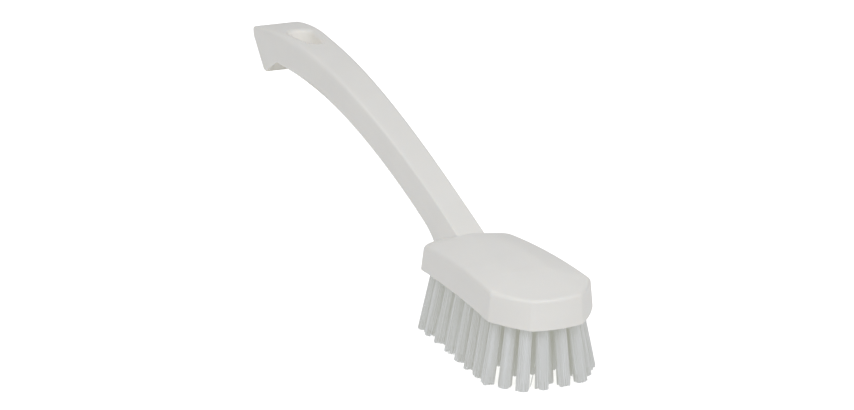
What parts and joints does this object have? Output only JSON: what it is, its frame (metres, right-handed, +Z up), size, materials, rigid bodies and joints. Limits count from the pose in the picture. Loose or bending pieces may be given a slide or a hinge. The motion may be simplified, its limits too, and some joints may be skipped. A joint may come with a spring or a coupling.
{
  "type": "dish brush",
  "caption": "White plastic hand brush for dishes: a faceted block head with upright tufts of pale bristle and a long bowed handle with a hanging hole and a hooked end.",
  "frame": {"origin": "middle of the brush's bounding box, on the plane of the bristle tips", "axes": "+X towards the nose of the head, +Y to the brush's left, +Z up from the bristle tips towards the top of the head"},
  "size_m": [0.2816, 0.0468, 0.074],
  "materials": {
    "white_polypropylene": "satin, off-white, moulded",
    "translucent_bristle": "fine translucent pale grey-white filaments"
  },
  "bodies": {
    "root": {"brush_body": "white_polypropylene", "tuft_nose_left": "translucent_bristle", "tuft_nose_right": "translucent_bristle", "tuft_left_01": "translucent_bristle", "tuft_left_02": "translucent_bristle", "tuft_left_03": "translucent_bristle", "tuft_left_04": "translucent_bristle", "tuft_left_05": "translucent_bristle", "tuft_left_06": "translucent_bristle", "tuft_left_07": "translucent_bristle", "tuft_left_08": "translucent_bristle", "tuft_left_09": "translucent_bristle", "tuft_left_10": "translucent_bristle", "tuft_right_01": "translucent_bristle", "tuft_right_02": "translucent_bristle", "tuft_right_03": "translucent_bristle", "tuft_right_04": "translucent_bristle", "tuft_right_05": "translucent_bristle", "tuft_right_06": "translucent_bristle", "tuft_right_07": "translucent_bristle", "tuft_right_08": "translucent_bristle", "tuft_right_09": "translucent_bristle", "tuft_right_10": "translucent_bristle", "tuft_tail_left": "translucent_bristle", "tuft_tail_right": "translucent_bristle", "tuft_inner_left_1": "translucent_bristle", "tuft_inner_left_2": "translucent_bristle", "tuft_inner_left_3": "translucent_bristle", "tuft_inner_left_4": "translucent_bristle", "tuft_inner_left_5": "translucent_bristle", "tuft_inner_left_6": "translucent_bristle", "tuft_inner_left_7": "translucent_bristle", "tuft_inner_middle_1": "translucent_bristle", "tuft_inner_middle_2": "translucent_bristle", "tuft_inner_middle_3": "translucent_bristle", "tuft_inner_middle_4": "translucent_bristle", "tuft_inner_middle_5": "translucent_bristle", "tuft_inner_middle_6": "translucent_bristle", "tuft_inner_middle_7": "translucent_bristle", "tuft_inner_right_1": "translucent_bristle", "tuft_inner_right_2": "translucent_bristle", "tuft_inner_right_3": "translucent_bristle", "tuft_inner_right_4": "translucent_bristle", "tuft_inner_right_5": "translucent_bristle", "tuft_inner_right_6": "translucent_bristle", "tuft_inner_right_7": "translucent_bristle"}
  },
  "joints": []
}
